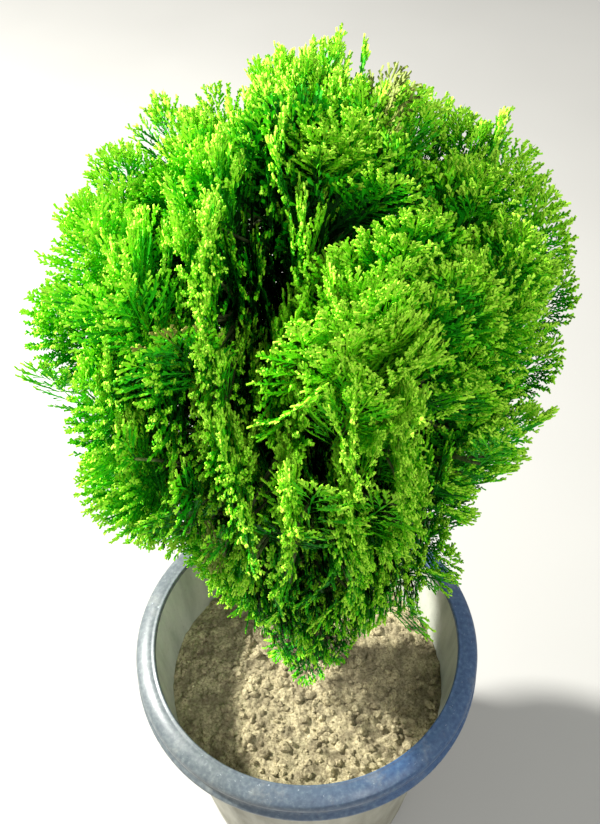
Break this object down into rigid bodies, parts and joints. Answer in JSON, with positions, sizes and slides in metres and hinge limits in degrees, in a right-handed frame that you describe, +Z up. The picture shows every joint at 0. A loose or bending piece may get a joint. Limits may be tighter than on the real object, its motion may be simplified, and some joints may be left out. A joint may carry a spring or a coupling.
{
  "type": "potted thuja",
  "caption": "Dwarf golden oriental thuja with an egg-shaped crown of upright fan sprays, in a round tapered nursery pot with a broad lip, filled with soil.",
  "frame": {"origin": "centre of the pot's flat underside, which stands on the ground", "axes": "+Z up, -Y towards the plant's front, +X to the right seen from the front"},
  "size_m": [0.3445, 0.3401, 0.7793],
  "materials": {
    "pot_body": "grey-beige weathered plastic body under a deep blue lip",
    "soil": "dry sandy soil with clods",
    "bark": "thin reddish-brown bark in strips",
    "foliage": "flat sprays of scale leaves, yellow-green tips over deep green"
  },
  "bodies": {
    "root": {"bough_lower_1": "bark", "bough_lower_2": "bark", "bough_lower_3": "bark", "bough_lower_4": "bark", "bough_lower_5": "bark", "bough_lower_6": "bark", "bough_lower_7": "bark", "bough_lowest_1": "bark", "bough_lowest_2": "bark", "bough_lowest_3": "bark", "bough_lowest_4": "bark", "bough_lowest_5": "bark", "bough_middle_1": "bark", "bough_middle_2": "bark", "bough_middle_3": "bark", "bough_middle_4": "bark", "bough_middle_5": "bark", "bough_middle_6": "bark", "bough_middle_7": "bark", "bough_middle_8": "bark", "bough_upper_1": "bark", "bough_upper_2": "bark", "bough_upper_3": "bark", "bough_upper_4": "bark", "bough_upper_5": "bark", "bough_upper_6": "bark", "foliage_lower_1": "foliage", "foliage_lower_2": "foliage", "foliage_lower_3": "foliage", "foliage_lower_4": "foliage", "foliage_lower_5": "foliage", "foliage_lower_6": "foliage", "foliage_lower_7": "foliage", "foliage_lowest_1": "foliage", "foliage_lowest_2": "foliage", "foliage_lowest_3": "foliage", "foliage_lowest_4": "foliage", "foliage_lowest_5": "foliage", "foliage_middle_1": "foliage", "foliage_middle_2": "foliage", "foliage_middle_3": "foliage", "foliage_middle_4": "foliage", "foliage_middle_5": "foliage", "foliage_middle_6": "foliage", "foliage_middle_7": "foliage", "foliage_middle_8": "foliage", "foliage_top": "foliage", "foliage_upper_1": "foliage", "foliage_upper_2": "foliage", "foliage_upper_3": "foliage", "foliage_upper_4": "foliage", "foliage_upper_5": "foliage", "foliage_upper_6": "foliage", "pot": "pot_body", "soil": "soil", "trunk": "bark"}
  },
  "joints": []
}
